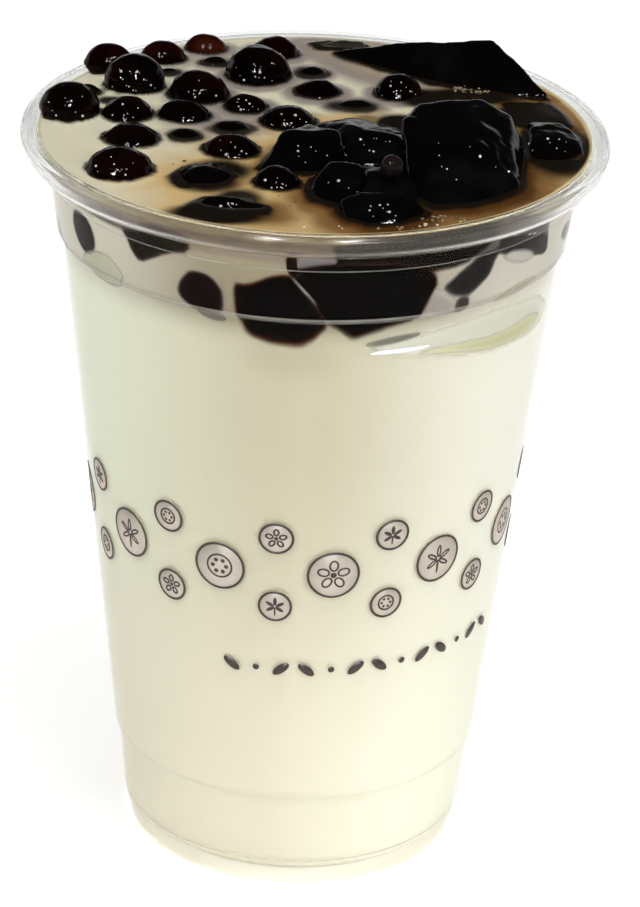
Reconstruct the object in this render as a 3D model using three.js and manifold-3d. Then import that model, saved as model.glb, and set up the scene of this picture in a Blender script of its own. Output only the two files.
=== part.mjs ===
import * as THREE from 'three';
import { ConvexGeometry } from 'three/addons/geometries/ConvexGeometry.js';
import { mergeVertices } from 'three/addons/utils/BufferGeometryUtils.js';
import Module from 'manifold-3d';

// Clear plastic cup of milk tea, brim-full, heaped with tapioca pearls and grass jelly.
// Millimetres, +Z up, cup axis on Z, base on z = 0, the viewed side towards -Y.

const RIM_RADIUS = 47.5;          // outermost edge of the rolled lip
const RIM_TOP = 125.55;           // crest of the lip
const MOUTH_RADIUS = 43.9;        // inner edge of the lip
const SHOULDER_HEIGHT = 109.1;    // lower corner of the collar
const COLLAR_TOP = 118.05;
const WALL_TOP_RADIUS = 40.6;     // outside, just under the shoulder
const STACK_STEP_HEIGHT = 18.7;
const STACK_STEP_RADIUS = 30.7;
const BASE_RADIUS = 27.3;
const WALL = 0.7;
const FLOOR_TOP = 3.4;
const FLOOR_UNDER = 2.7;
const LEVEL = 124.9;              // surface of the drink
const GAP = 0.3;                  // between pieces that touch
const JELLY_EDGE = 0.7;           // rounding of the jelly's cut edges
const JELLY_FOOT = 0.6;           // width of a block's sunk foot as a share of its top
const CUP_SEGMENTS = 44;
const PEARL_SEGMENTS = 13;
const PEARL_RINGS = [138, 104, 78, 52, 26];   // degrees from the top, closer above the level

// Inside of the cup from the floor to the crest of the lip, as radius and height.
const INSIDE = [
  [26.4, FLOOR_TOP],
  [27.4, 4.0],
  [28.2, 6.1],
  [29.3, 17.9],
  [STACK_STEP_RADIUS - WALL, STACK_STEP_HEIGHT + 0.2],
  [WALL_TOP_RADIUS - WALL, SHOULDER_HEIGHT - 0.7],
  [40.8, SHOULDER_HEIGHT + 0.2],
  [42.1, COLLAR_TOP],
  [43.6, 122.5],
  [MOUTH_RADIUS, 124.3],
  [44.7, 125.2],
];

// Outside from the crest round the roll of the lip and down to the base.
const OUTSIDE = [
  [46.1, RIM_TOP],
  [47.1, 125.3],
  [RIM_RADIUS, 124.6],
  [47.3, 123.4],
  [46.6, 122.2],
  [45.7, 121.4],
  [45.2, 121.8],
  [46.3, 122.9],
  [46.8, 124.3],
  [46.1, 124.9],
  [44.9, 124.5],
  [44.4, 122.6],
  [43.1, COLLAR_TOP + 0.3],
  [42.8, COLLAR_TOP],
  [41.5, SHOULDER_HEIGHT],
  [WALL_TOP_RADIUS, SHOULDER_HEIGHT - 0.85],
  [STACK_STEP_RADIUS, STACK_STEP_HEIGHT],
  [30.0, STACK_STEP_HEIGHT - 1.0],
  [28.9, 6.1],
  [27.85, 0.8],
  [BASE_RADIUS, 0],
  [26.3, 0],
  [25.3, FLOOR_UNDER],
];

// Pearls: x and y of the centre, its rise over the level, half width, half depth, half height.
const PEARLS = [
  [-39.9, 3.6, 0.8, 5.0, 4.9, 4.4],
  [-34.8, 25.2, 0.2, 4.5, 3.9, 4.1],
  [-26.2, 30.6, -0.7, 4.3, 3.5, 4.0],
  [-19.2, 36.2, -1.0, 4.1, 3.2, 3.8],
  [-30.1, 16.9, 1.4, 5.2, 4.5, 4.3],
  [-9.9, 23.8, 0.5, 5.7, 5.4, 4.8],
  [-7.5, 35.3, -1.2, 4.6, 4.3, 4.2],
  [-19.5, 13.8, -0.3, 5.4, 4.9, 4.6],
  [-30.5, 3.5, -0.9, 4.5, 4.6, 3.9],
  [-21.3, 4.0, -1.5, 4.9, 4.6, 4.3],
  [-11.5, 8.9, -1.2, 4.1, 4.0, 3.5],
  [-29.3, -7.4, -2.0, 5.5, 5.3, 4.7],
  [-20.8, -5.2, -2.4, 4.3, 3.8, 3.5],
  [-30.4, -21.1, -1.2, 5.9, 5.7, 5.0],
  [-13.3, -10.9, -1.9, 5.4, 5.2, 4.7],
  [-13.4, -0.8, -2.6, 4.6, 4.1, 3.8],
  [-4.4, 2.5, -1.4, 5.1, 4.8, 4.4],
  [-17.3, 29.8, -1.2, 2.9, 2.4, 2.3],
  [-24.7, 24.2, -1.0, 2.1, 2.0, 1.8],
  [-37.6, 13.4, -0.9, 2.5, 2.4, 2.2],
  [0.1, 17.2, -1.8, 4.7, 4.3, 4.0],
  [-1.0, 26.5, -1.9, 3.4, 3.3, 3.0],
  [-5.7, -24.4, -0.4, 3.9, 3.8, 3.3],
  [13.4, 17.9, -0.3, 4.3, 4.2, 3.7],
  [6.5, 11.5, -2.4, 4.8, 3.8, 3.4],
  [12.1, -25.6, 4.3, 1.9, 1.9, 1.9],
];

// Jelly: how deep each block reaches, and its upper corners as x, y and height over the level.
const JELLY = {
  slab: {
    depth: 6.5,
    corners: [
      [3.5, 36.0, 0.3], [13.6, 32.8, 3.1], [22.0, 31.8, 4.1], [29.0, 30.4, 5.1], [33.0, 24.4, 3.0],
      [37.6, 18.2, 0.6], [7.0, 32.6, -0.9], [12.0, 28.0, -0.9], [22.0, 21.6, -0.9],
      [35.4, 18.8, -0.9],
    ],
  },
  big: {
    depth: 10.5,
    corners: [
      [14.2, -11.0, 6.2], [16.4, -4.6, 6.4], [26.0, -2.2, 6.8], [30.6, -3.4, 4.8],
      [32.4, -7.0, 1.6], [25.4, -19.4, 5.6], [30.6, -14.0, 3.0], [15.6, -28.0, -0.6],
      [18.4, -32.6, -0.8], [24.4, -31.0, -0.8], [28.6, -28.0, -0.8], [31.8, -24.4, -0.8],
      [32.6, -14.0, -0.8],
    ],
  },
  right: {
    depth: 7,
    corners: [
      [34.6, 2.6, 1.0], [39.4, 2.6, 1.2], [42.0, -0.6, 0.5], [42.6, -6.0, -0.1],
      [42.0, -10.6, -0.9], [35.2, -10.8, -0.4], [34.8, -8.0, 1.6], [38.6, -5.0, 1.6],
      [34.6, -2.0, 2.0],
    ],
  },
  filmed: {
    depth: 6,
    corners: [
      [31.6, 14.6, -0.4], [37.8, 14.8, -0.2], [40.0, 10.0, -0.2], [40.8, 5.6, -0.5],
      [34.4, 4.4, -0.6], [32.0, 6.2, -0.6],
    ],
  },
  heap: {
    depth: 9,
    corners: [
      [-7.6, -18.4, 0.6], [-5.0, -10.4, 2.9], [-1.2, -5.4, 2.5], [3.4, -10.4, 3.3],
      [4.2, -15.4, 2.3], [-8.2, -19.0, -1.0], [-2.0, -20.6, -1.0], [3.2, -18.4, -1.0],
    ],
  },
  centre: {
    depth: 8,
    corners: [
      [-0.4, -0.4, 0.4], [5.2, 0.8, 1.3], [13.2, -3.2, 1.6], [13.6, -10.0, 2.6], [5.2, -6.0, 2.8],
      [14.4, -18.6, 1.4], [4.0, -17.6, 1.2],
    ],
  },
  facets: {
    depth: 7,
    corners: [
      [2.6, -20.6, 2.5], [7.0, -22.6, 2.7], [6.2, -28.0, 1.6], [0.8, -31.4, -0.4],
      [-0.2, -27.6, -0.4], [3.8, -32.8, -0.4], [0.4, -22.6, 0.2], [7.0, -31.4, -0.4],
    ],
  },
  middle: {
    depth: 7,
    corners: [
      [6.6, -19.6, 1.2], [14.4, -19.6, 1.3], [16.0, -26.0, 1.3], [15.4, -31.4, 0.4],
      [7.2, -31.6, 0.6], [7.4, -24.6, 1.6],
    ],
  },
  front: {
    depth: 8,
    corners: [
      [4.6, -34.0, 1.2], [7.4, -32.6, 2.0], [13.6, -32.4, 2.0], [17.0, -34.8, 0.4],
      [5.6, -37.4, 0.4], [8.8, -38.8, 0.9], [13.0, -38.4, 0.8], [8.8, -40.6, -0.9],
      [13.6, -39.6, -0.9], [5.4, -38.2, -0.9],
    ],
  },
  low_left: {
    depth: 5,
    corners: [
      [-22.2, -23.4, -0.9], [-19.6, -19.6, 0.4], [-15.6, -19.2, 0.6], [-12.9, -22.2, 0.0],
      [-14.6, -26.0, -0.2], [-20.0, -27.2, -0.5], [-17.6, -23.0, 1.4],
    ],
  },
  strip: {
    depth: 5,
    corners: [
      [-19.2, -35.9, -0.7], [-16.0, -32.4, 0.3], [-12.0, -33.0, 0.5], [-7.6, -35.0, 0.0],
      [-7.2, -37.6, -0.7], [-13.0, -38.6, -0.6], [-17.8, -37.2, -0.7],
    ],
  },
  back: {
    depth: 5,
    corners: [
      [-0.6, 40.6, -0.3], [3.6, 41.6, 0.3], [7.2, 41.2, 0.4], [8.0, 38.4, -0.2], [0.0, 38.4, -0.4],
    ],
  },
};

const wasm = await Module();
wasm.setup();

// One closed indexed mesh: welded corners, no collapsed faces, outward faces.
function weld(geometry) {
  const plain = new THREE.BufferGeometry();
  plain.setAttribute('position', geometry.getAttribute('position').clone());
  if (geometry.index) plain.setIndex(geometry.index.clone());
  const merged = mergeVertices(plain, 1e-4);
  const index = merged.index.array;
  const kept = [];
  for (let i = 0; i < index.length; i += 3) {
    const [a, b, c] = [index[i], index[i + 1], index[i + 2]];
    if (a !== b && b !== c && c !== a) kept.push(a, b, c);
  }
  merged.setIndex(kept);
  return merged;
}

function toSolid(geometry) {
  const welded = weld(geometry);
  return new wasm.Manifold(new wasm.Mesh({
    numProp: 3,
    vertProperties: new Float32Array(welded.getAttribute('position').array),
    triVerts: new Uint32Array(welded.index.array),
  }));
}

function toGeometry(solid) {
  const mesh = solid.getMesh();
  const geometry = new THREE.BufferGeometry();
  geometry.setAttribute('position', new THREE.BufferAttribute(new Float32Array(mesh.vertProperties), 3));
  geometry.setIndex(new THREE.BufferAttribute(new Uint32Array(mesh.triVerts), 1));
  geometry.computeVertexNormals();
  return geometry;
}

function largest(solid) {
  let best = null;
  for (const piece of solid.decompose()) {
    if (best === null || piece.volume() > best.volume()) best = piece;
  }
  return best;
}

function turned(profile) {
  const points = profile.map(([radius, height]) => new THREE.Vector2(radius, height));
  return new THREE.LatheGeometry(points, CUP_SEGMENTS).rotateX(Math.PI / 2);
}

// A slightly uneven ball, standing with its poles upright; grow widens it all round.
function pearlGeometry([x, y, rise, halfWidth, halfDepth, halfHeight], number, grow) {
  const points = [new THREE.Vector2(0, -1)];
  for (const degrees of PEARL_RINGS) {
    const angle = THREE.MathUtils.degToRad(degrees);
    points.push(new THREE.Vector2(Math.sin(angle), Math.cos(angle)));
  }
  points.push(new THREE.Vector2(0, 1));
  const geometry = new THREE.LatheGeometry(points, PEARL_SEGMENTS).rotateX(Math.PI / 2);
  const position = geometry.getAttribute('position');
  const phase = number * 2.4;
  for (let i = 0; i < position.count; i += 1) {
    const [u, v, w] = [position.getX(i), position.getY(i), position.getZ(i)];
    const across = Math.hypot(u, v);
    const turn = Math.atan2(v, u);
    const uneven = 1 + across * (0.025 * Math.sin(2 * turn + phase) + 0.015 * Math.sin(3 * turn - phase));
    position.setXYZ(
      i,
      x + u * uneven * (halfWidth + grow),
      y + v * uneven * (halfDepth + grow),
      LEVEL + rise + w * (halfHeight + grow),
    );
  }
  return geometry;
}

// Four corners of the foot of a block, deep in the drink.
function jellyFoot({ depth, corners }) {
  const [left, right, front, back] = [
    Math.min(...corners.map(([x]) => x)),
    Math.max(...corners.map(([x]) => x)),
    Math.min(...corners.map(([, y]) => y)),
    Math.max(...corners.map(([, y]) => y)),
  ];
  return [[-1, -1], [1, -1], [1, 1], [-1, 1]].map(([i, j]) => [
    (left + right) / 2 + i * JELLY_FOOT * (right - left) / 2,
    (front + back) / 2 + j * JELLY_FOOT * (back - front) / 2,
    -depth,
  ]);
}

// A block of jelly: the hull of small balls set on its corners, so that its edges are soft.
function jellyGeometry(block, grow) {
  const ball = new THREE.IcosahedronGeometry(JELLY_EDGE + grow, 0).getAttribute('position');
  const points = [];
  for (const [x, y, rise] of [...block.corners, ...jellyFoot(block)]) {
    for (let i = 0; i < ball.count; i += 1) {
      points.push(new THREE.Vector3(x + ball.getX(i), y + ball.getY(i), LEVEL + rise + ball.getZ(i)));
    }
  }
  return new ConvexGeometry(points);
}

function piece(name, geometry, color, roughness, opacity = 1) {
  const material = new THREE.MeshStandardMaterial({ color, roughness, opacity, transparent: opacity < 1 });
  material.name = `${name}_surface`;
  const mesh = new THREE.Mesh(geometry, material);
  mesh.name = name;
  return mesh;
}

const cupSolid = toSolid(turned([
  [0, FLOOR_UNDER],
  ...[...OUTSIDE].reverse(),
  ...[...INSIDE].reverse(),
  [0, FLOOR_TOP],
]));

// All that lies outside the cup's inner face and under the lip's top, grown by one gap.
const wallKeepout = toSolid(turned([
  [62, 90],
  [62, RIM_TOP - 0.9],
  [RIM_RADIUS + GAP, 124.6],
  [47.3, RIM_TOP + 0.05],
  [46.1, RIM_TOP + GAP],
  [44.5, 125.45],
  ...INSIDE.slice(5, 10).reverse().map(([radius, height]) => [radius - GAP, height]),
  [39.0 - GAP, 90],
  [62, 90],
]));

const toppings = [];
for (const [name, block] of Object.entries(JELLY)) {
  toppings.push({
    name: `jelly_${name}`,
    body: toSolid(jellyGeometry(block, 0)),
    grown: toSolid(jellyGeometry(block, GAP)),
    color: 0x140d0a,
    roughness: 0.12,
  });
}
PEARLS.forEach((pearl, at) => {
  toppings.push({
    name: `pearl_${String(at + 1).padStart(2, '0')}`,
    body: toSolid(pearlGeometry(pearl, at, 0)),
    grown: toSolid(pearlGeometry(pearl, at, GAP)),
    color: 0x1d0f0a,
    roughness: 0.15,
  });
});

function meet(first, second) {
  const a = first.boundingBox();
  const b = second.boundingBox();
  return [0, 1, 2].every((k) => a.min[k] < b.max[k] && b.min[k] < a.max[k]);
}

let drinkSolid = toSolid(turned([
  [0, FLOOR_TOP + GAP],
  [26.3, FLOOR_TOP + GAP],
  ...INSIDE.slice(1, 10).map(([radius, height]) => [radius - GAP, height]),
  [MOUTH_RADIUS - GAP + 0.1, LEVEL],
  [0, LEVEL],
]));

const part = new THREE.Group();
part.name = 'bubble_tea';
part.add(piece('cup', toGeometry(cupSolid), 0xdfe3e2, 0.12, 0.4));

// Soft pieces that meet give way to those placed before them and to the wall.
const placed = [];
for (const topping of toppings) {
  let body = topping.body.subtract(wallKeepout);
  for (const other of placed) {
    if (meet(body, other)) body = body.subtract(other);
  }
  placed.push(topping.grown);
  drinkSolid = drinkSolid.subtract(topping.grown);
  part.add(piece(topping.name, toGeometry(largest(body)), topping.color, topping.roughness));
}
part.add(piece('drink', toGeometry(largest(drinkSolid)), 0xeae0c8, 0.3));

export default part;
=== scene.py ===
"""Dresses the packed cup of milk tea: wall, milk, pearls, jelly, sunk pieces, print and stage."""

import math

import bmesh
import bpy
from bpy.props import FloatProperty, FloatVectorProperty, IntProperty, PointerProperty
from mathutils import Matrix, Vector, noise
from mathutils.bvhtree import BVHTree


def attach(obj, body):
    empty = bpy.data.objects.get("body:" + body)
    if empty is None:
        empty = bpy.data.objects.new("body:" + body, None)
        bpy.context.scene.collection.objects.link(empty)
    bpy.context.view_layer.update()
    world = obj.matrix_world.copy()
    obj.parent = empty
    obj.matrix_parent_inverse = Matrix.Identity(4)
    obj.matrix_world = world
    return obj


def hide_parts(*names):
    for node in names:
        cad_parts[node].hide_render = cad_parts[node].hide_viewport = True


bl_info = {
    "name": "Cup of milk tea",
    "version": (1, 0, 0),
    "blender": (4, 5, 0),
    "location": "View3D > Sidebar > Milk tea",
    "description": "Builds a clear cup of milk tea with pearls and grass jelly",
    "category": "Object",
}

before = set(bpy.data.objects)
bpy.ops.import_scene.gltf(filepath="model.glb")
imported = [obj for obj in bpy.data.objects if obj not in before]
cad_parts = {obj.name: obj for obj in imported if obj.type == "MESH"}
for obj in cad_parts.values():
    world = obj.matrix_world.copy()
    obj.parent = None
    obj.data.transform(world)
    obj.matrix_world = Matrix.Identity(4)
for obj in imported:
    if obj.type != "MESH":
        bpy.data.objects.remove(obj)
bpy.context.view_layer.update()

MM = 0.001
LEVEL = 124.9
RIM_TOP = 125.55
FLOOR_TOP = 3.4
FLOOR_UNDER = 2.7
INTO_WALL = 0.15
PRINT_MIDDLE = 62.0
# Steps that spread seeded draws evenly, as parts of a whole.
TURN_STEP, OUT_STEP, SIZE_STEP = 0.618034, 0.754878, 0.569840
# Where the camera stands, in metres, and how it is turned, in radians.
CAMERA_BACK, CAMERA_HEIGHT = 0.6171341, 0.3580649
CAMERA_PAN, CAMERA_TILT, CAMERA_ROLL = 0.0045, 0.4401, 0.0398

# Radius and height in millimetres of the cup's inside, from the floor to the lip.
INSIDE = [
    (26.4, 3.4), (27.4, 4.0), (28.2, 6.1), (29.3, 17.9), (30.0, 18.9), (39.9, 108.4),
    (40.8, 109.3), (42.1, 118.05), (43.6, 122.5), (43.9, 124.3), (44.7, 125.2),
]
# The outside, from the crest round the roll of the lip and down to the foot.
OUTSIDE = [
    (46.1, 125.55), (47.1, 125.3), (47.5, 124.6), (47.3, 123.4), (46.6, 122.2), (45.7, 121.4),
    (45.2, 121.8), (46.3, 122.9), (46.8, 124.3), (46.1, 124.9), (44.9, 124.5), (44.4, 122.6),
    (43.1, 118.35), (42.8, 118.05), (41.5, 109.1), (40.6, 108.25), (30.7, 18.7), (30.0, 17.7),
    (28.9, 6.1), (27.85, 0.8), (27.3, 0.0), (26.3, 0.0), (25.3, 2.7),
]


def between(low, high, value):
    """0 below low, 1 above high, and smooth in between."""
    t = min(1.0, max(0.0, (value - low) / (high - low)))
    return t * t * (3 - 2 * t)


def radius_at(profile, height):
    """Radius of a rising profile at a height, in millimetres."""
    for (r0, z0), (r1, z1) in zip(profile, profile[1:]):
        if z0 <= height <= z1:
            return r0 + (r1 - r0) * (height - z0) / (z1 - z0)
    return profile[0][0] if height < profile[0][1] else profile[-1][0]


OUTER_WALL = sorted(OUTSIDE[12:21], key=lambda point: point[1])


def add_piece(name, bm, material, replaced=()):
    """A finished piece at the origin, riding on the one body."""
    mesh = bpy.data.meshes.new(name)
    bm.to_mesh(mesh)
    bm.free()
    mesh.shade_smooth()
    piece = bpy.data.objects.new(name, mesh)
    bpy.context.collection.objects.link(piece)
    mesh.materials.append(material)
    return place_piece(piece, replaced)


def place_piece(piece, replaced=()):
    """Says what a piece rides on and which CAD nodes it replaces."""
    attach(piece, "root")
    if replaced:
        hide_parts(*replaced)
    return piece


def turn_profile(bm, profile, steps, corner=0.0):
    """Spins a profile in millimetres round the cup's axis, its corners rounded first."""
    verts = [bm.verts.new((r * MM, 0.0, z * MM)) for r, z in profile]
    for pair in zip(verts, verts[1:]):
        bm.edges.new(pair)
    if corner:
        bmesh.ops.bevel(
            bm, geom=verts[1:-1], offset=corner * MM, offset_type="OFFSET", affect="VERTICES",
            segments=3, profile=0.5, material=-1, clamp_overlap=True,
        )
    bmesh.ops.spin(
        bm, geom=bm.verts[:] + bm.edges[:], cent=(0, 0, 0), axis=(0, 0, 1), dvec=(0, 0, 0),
        angle=2 * math.pi, steps=steps, use_merge=True, use_duplicate=False,
    )
    bmesh.ops.remove_doubles(bm, verts=bm.verts, dist=1e-6)
    bmesh.ops.recalc_face_normals(bm, faces=bm.faces)


def soft_copy(name, node, voxel, passes, lumps, material):
    """A copy of a CAD topping with its facets melted into a soft, slightly uneven form."""
    bm = bmesh.new()
    bm.from_mesh(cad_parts[node].data)
    bmesh.ops.remove_doubles(bm, verts=bm.verts, dist=1e-6)
    mesh = bpy.data.meshes.new(name)
    bm.to_mesh(mesh)
    bm.free()
    piece = bpy.data.objects.new(name, mesh)
    bpy.context.collection.objects.link(piece)
    skin = piece.modifiers.new("skin", "REMESH")
    skin.mode = "VOXEL"
    skin.voxel_size = voxel * MM
    soften = piece.modifiers.new("soften", "SMOOTH")
    soften.factor = 0.5
    soften.iterations = passes
    depsgraph = bpy.context.evaluated_depsgraph_get()
    melted = bpy.data.meshes.new_from_object(piece.evaluated_get(depsgraph))
    piece.modifiers.clear()
    piece.data = melted
    bpy.data.meshes.remove(mesh)
    melted.name = name
    for vert in melted.vertices:
        coarse = noise.noise(vert.co / (5.0 * MM))
        fine = noise.noise(vert.co / (1.7 * MM))
        vert.co += vert.normal * (0.1 + lumps * (coarse + 0.35 * fine)) * MM
    melted.shade_smooth()
    melted.materials.clear()
    melted.materials.append(material)
    return place_piece(piece, (node,))


def nearest(nodes):
    """Distance finder to several CAD nodes together in millimetres, negative inside them."""
    bm = bmesh.new()
    for node in nodes:
        bm.from_mesh(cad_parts[node].data)
    tree = BVHTree.FromBMesh(bm)
    bm.free()

    def distance(x, y, z):
        point = Vector((x, y, z)) * MM
        place, normal, _, away = tree.find_nearest(point)
        return math.copysign(away / MM, (point - place).dot(normal))

    return distance


def outline_distance(points, x, y):
    """Distance from a closed outline, negative inside it."""
    inside = False
    best = 1e9
    for (x0, y0), (x1, y1) in zip(points, points[1:] + points[:1]):
        dx, dy = x1 - x0, y1 - y0
        t = max(0.0, min(1.0, ((x - x0) * dx + (y - y0) * dy) / (dx * dx + dy * dy)))
        best = min(best, math.hypot(x - x0 - t * dx, y - y0 - t * dy))
        if (y0 > y) != (y1 > y) and x < x0 + (y - y0) * dx / dy:
            inside = not inside
    return -best if inside else best


def principled(name, **values):
    """A material with its one Principled shader set, and the tree to add to."""
    material = bpy.data.materials.new(name)
    material.use_nodes = True
    nodes = material.node_tree.nodes
    shader = nodes["Principled BSDF"]
    for key, value in values.items():
        shader.inputs[key.replace("_", " ").title().replace("Ior", "IOR")].default_value = value
    return material, nodes, material.node_tree.links, shader


def node(nodes, kind, **settings):
    """A shader node with its inputs or its own settings filled in by name."""
    made = nodes.new(kind)
    for key, value in settings.items():
        if key in made.inputs:
            made.inputs[key].default_value = value
        else:
            setattr(made, key, value)
    return made


def wet_relief():
    """Shared group: fine lumps and ripples of a wet surface, as a normal and a mottle mask."""
    name = "wet_relief"
    if name in bpy.data.node_groups:
        return bpy.data.node_groups[name]
    group = bpy.data.node_groups.new(name, "ShaderNodeTree")
    for label, low in (("Lump Size", 3.0), ("Lump Height", 0.1), ("Fine Height", 0.01)):
        socket = group.interface.new_socket(label, in_out="INPUT", socket_type="NodeSocketFloat")
        socket.default_value = low
    group.interface.new_socket("Normal", in_out="OUTPUT", socket_type="NodeSocketVector")
    group.interface.new_socket("Mottle", in_out="OUTPUT", socket_type="NodeSocketFloat")
    nodes, links = group.nodes, group.links
    given = nodes.new("NodeGroupInput")
    put_out = nodes.new("NodeGroupOutput")
    place = nodes.new("ShaderNodeTexCoord")
    scale = node(nodes, "ShaderNodeMath", operation="DIVIDE")
    scale.inputs[0].default_value = 1000.0
    lumps = node(nodes, "ShaderNodeTexNoise", Detail=2.0)
    fine = node(nodes, "ShaderNodeTexNoise", Scale=1800.0, Detail=2.0)
    first = node(nodes, "ShaderNodeBump", Strength=1.0)
    second = node(nodes, "ShaderNodeBump", Strength=1.0)
    tall = node(nodes, "ShaderNodeMath", operation="MULTIPLY")
    small = node(nodes, "ShaderNodeMath", operation="MULTIPLY")
    tall.inputs[1].default_value = MM
    small.inputs[1].default_value = MM
    links.new(given.outputs["Lump Size"], scale.inputs[1])
    links.new(scale.outputs[0], lumps.inputs["Scale"])
    links.new(place.outputs["Object"], lumps.inputs["Vector"])
    links.new(place.outputs["Object"], fine.inputs["Vector"])
    links.new(given.outputs["Lump Height"], tall.inputs[0])
    links.new(given.outputs["Fine Height"], small.inputs[0])
    links.new(tall.outputs[0], first.inputs["Distance"])
    links.new(small.outputs[0], second.inputs["Distance"])
    links.new(lumps.outputs["Fac"], first.inputs["Height"])
    links.new(fine.outputs["Fac"], second.inputs["Height"])
    links.new(first.outputs["Normal"], second.inputs["Normal"])
    links.new(second.outputs["Normal"], put_out.inputs["Normal"])
    links.new(lumps.outputs["Fac"], put_out.inputs["Mottle"])
    return group


def relief(nodes, size, height, fine):
    """The shared wet relief with the size and height of its lumps in mm."""
    made = nodes.new("ShaderNodeGroup")
    made.node_tree = wet_relief()
    made.inputs["Lump Size"].default_value = size
    made.inputs["Lump Height"].default_value = height
    made.inputs["Fine Height"].default_value = fine
    return made


def blend(nodes, links, factor, first, second, low=0.0, high=1.0):
    """Goes smoothly from the first colour to the second as the factor goes from low to high."""
    span = node(nodes, "ShaderNodeMapRange", interpolation_type="SMOOTHSTEP")
    span.inputs["From Min"].default_value = low
    span.inputs["From Max"].default_value = high
    links.new(factor, span.inputs["Value"])
    mix = node(nodes, "ShaderNodeMix", data_type="RGBA")
    links.new(span.outputs[0], mix.inputs[0])
    for socket, colour in ((mix.inputs[6], first), (mix.inputs[7], second)):
        if isinstance(colour, bpy.types.NodeSocket):
            links.new(colour, socket)
        else:
            socket.default_value = (*colour, 1)
    return mix.outputs[2]


def stirred(nodes, links, attribute, size, amount):
    """A painted value of the mesh, its edges broken up by noise of a size in mm."""
    value = node(nodes, "ShaderNodeAttribute", attribute_name=attribute)
    place = nodes.new("ShaderNodeTexCoord")
    cloud = node(nodes, "ShaderNodeTexNoise", Scale=1000.0 / size, Detail=3.0, Distortion=0.8)
    links.new(place.outputs["Object"], cloud.inputs["Vector"])
    shift = node(nodes, "ShaderNodeMath", operation="MULTIPLY_ADD")
    links.new(cloud.outputs["Fac"], shift.inputs[0])
    shift.inputs[1].default_value = amount
    shift.inputs[2].default_value = -0.5 * amount
    total = node(nodes, "ShaderNodeMath", operation="ADD", use_clamp=True)
    links.new(value.outputs["Fac"], total.inputs[0])
    links.new(shift.outputs[0], total.inputs[1])
    return total.outputs[0]


def plastic_material(name, tint, roughness, through, bend, front=None):
    """Clear cup plastic that lets light through to the milk; in front it can take a second, darker tint
    streaked with pale and dark rings, painted reflections.
    """
    material, nodes, links, shader = principled(
        name, base_color=(*tint, 1), roughness=roughness, ior=bend, transmission_weight=through,
    )
    if front:
        place = nodes.new("ShaderNodeTexCoord")
        split = nodes.new("ShaderNodeSeparateXYZ")
        links.new(place.outputs["Object"], split.inputs[0])
        # Pale and dark rings round the lip are painted reflections. They fade into the plain tint towards
        # the back.
        rings = node(
            nodes, "ShaderNodeTexWave", wave_type="RINGS", rings_direction="Z", Scale=260.0, Distortion=2.5,
            Detail=2.0,
        )
        links.new(place.outputs["Object"], rings.inputs["Vector"])
        dark, pale = [0.78 * c for c in front], [1.3 * c for c in front]
        reflection_streaks = blend(nodes, links, rings.outputs["Fac"], dark, pale)
        colour = blend(nodes, links, split.outputs["Y"], reflection_streaks, tint, -0.045, -0.024)
        links.new(colour, shader.inputs["Base Color"])
    lit = nodes.new("ShaderNodeBsdfTransparent")
    lit.inputs["Color"].default_value = (0.94, 0.94, 0.93, 1)
    path = nodes.new("ShaderNodeLightPath")
    mix = nodes.new("ShaderNodeMixShader")
    links.new(path.outputs["Is Shadow Ray"], mix.inputs[0])
    links.new(shader.outputs[0], mix.inputs[1])
    links.new(lit.outputs[0], mix.inputs[2])
    links.new(mix.outputs[0], nodes["Material Output"].inputs["Surface"])
    return material


def milk_material(settings):
    """Milk tea: pale cream, tinted tan and brown where jelly and syrup bleed into it, with painted light
    and shade on its side and surface.
    """
    material, nodes, links, shader = principled(
        "milk_tea", roughness=0.25, ior=1.35, specular_ior_level=0.12,
    )
    place = nodes.new("ShaderNodeTexCoord")
    split = nodes.new("ShaderNodeSeparateXYZ")
    links.new(place.outputs["Object"], split.inputs[0])
    across, height = split.outputs["X"], split.outputs["Z"]
    # Painted light and shade: the side is darker and greener on the left and lighter on the right, as the
    # light falls from the right. It is also darker and yellower down the middle. The foot is lighter on the
    # right too.
    side = blend(nodes, links, across, settings.shaded_left_milk, settings.mid_milk, -0.042, -0.004)
    side = blend(nodes, links, across, side, settings.lit_right_milk, 0.002, 0.036)
    foot = blend(nodes, links, across, settings.low_milk, settings.lit_low_right_milk, -0.005, 0.022)
    side = blend(nodes, links, height, foot, side, 0.015, 0.090)
    # Painted shade: a darker band behind the collar near the top of the side. It is browner in front and
    # deepest under the jelly chunks.
    collar = blend(nodes, links, across, settings.collar_left, settings.collar_front, -0.036, -0.012)
    collar = blend(nodes, links, across, collar, settings.collar_right, 0.010, 0.032)
    band = stirred(nodes, links, "collar", 8.0, 0.15)
    side = blend(nodes, links, band, side, collar, 0.05, 0.95)
    # Painted shade: a darker band of milk just under the lip, across the front and sides.
    lip = stirred(nodes, links, "shade_under_lip", 2.6, 0.5)
    side = blend(nodes, links, lip, side, settings.shade_under_lip, 0.15, 0.85)
    on_top = node(nodes, "ShaderNodeAttribute", attribute_name="on_top")
    base = blend(nodes, links, on_top.outputs["Fac"], side, settings.top_milk)
    # Painted shade on the surface between the pearls and by the jelly at the back.
    shade_between_toppings = stirred(nodes, links, "shade_between_toppings", 5.0, 0.3)
    base = blend(nodes, links, shade_between_toppings, base, settings.between_pearls, 0.1, 1.0)
    tea = stirred(nodes, links, "tea", 9.0, 0.22)
    base = blend(nodes, links, tea, base, settings.light_tea, 0.04, 0.38)
    base = blend(nodes, links, tea, base, settings.tea, 0.36, 0.72)
    base = blend(nodes, links, tea, base, settings.dark_tea, 0.70, 1.0)
    shade = stirred(nodes, links, "shade", 3.0, 0.12)
    base = blend(nodes, links, shade, base, settings.gel_below, 0.08, 0.85)
    links.new(base, shader.inputs["Base Color"])
    wet = relief(nodes, 5.0, 0.03, 0.003)
    links.new(wet.outputs["Normal"], shader.inputs["Normal"])
    return material


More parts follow.
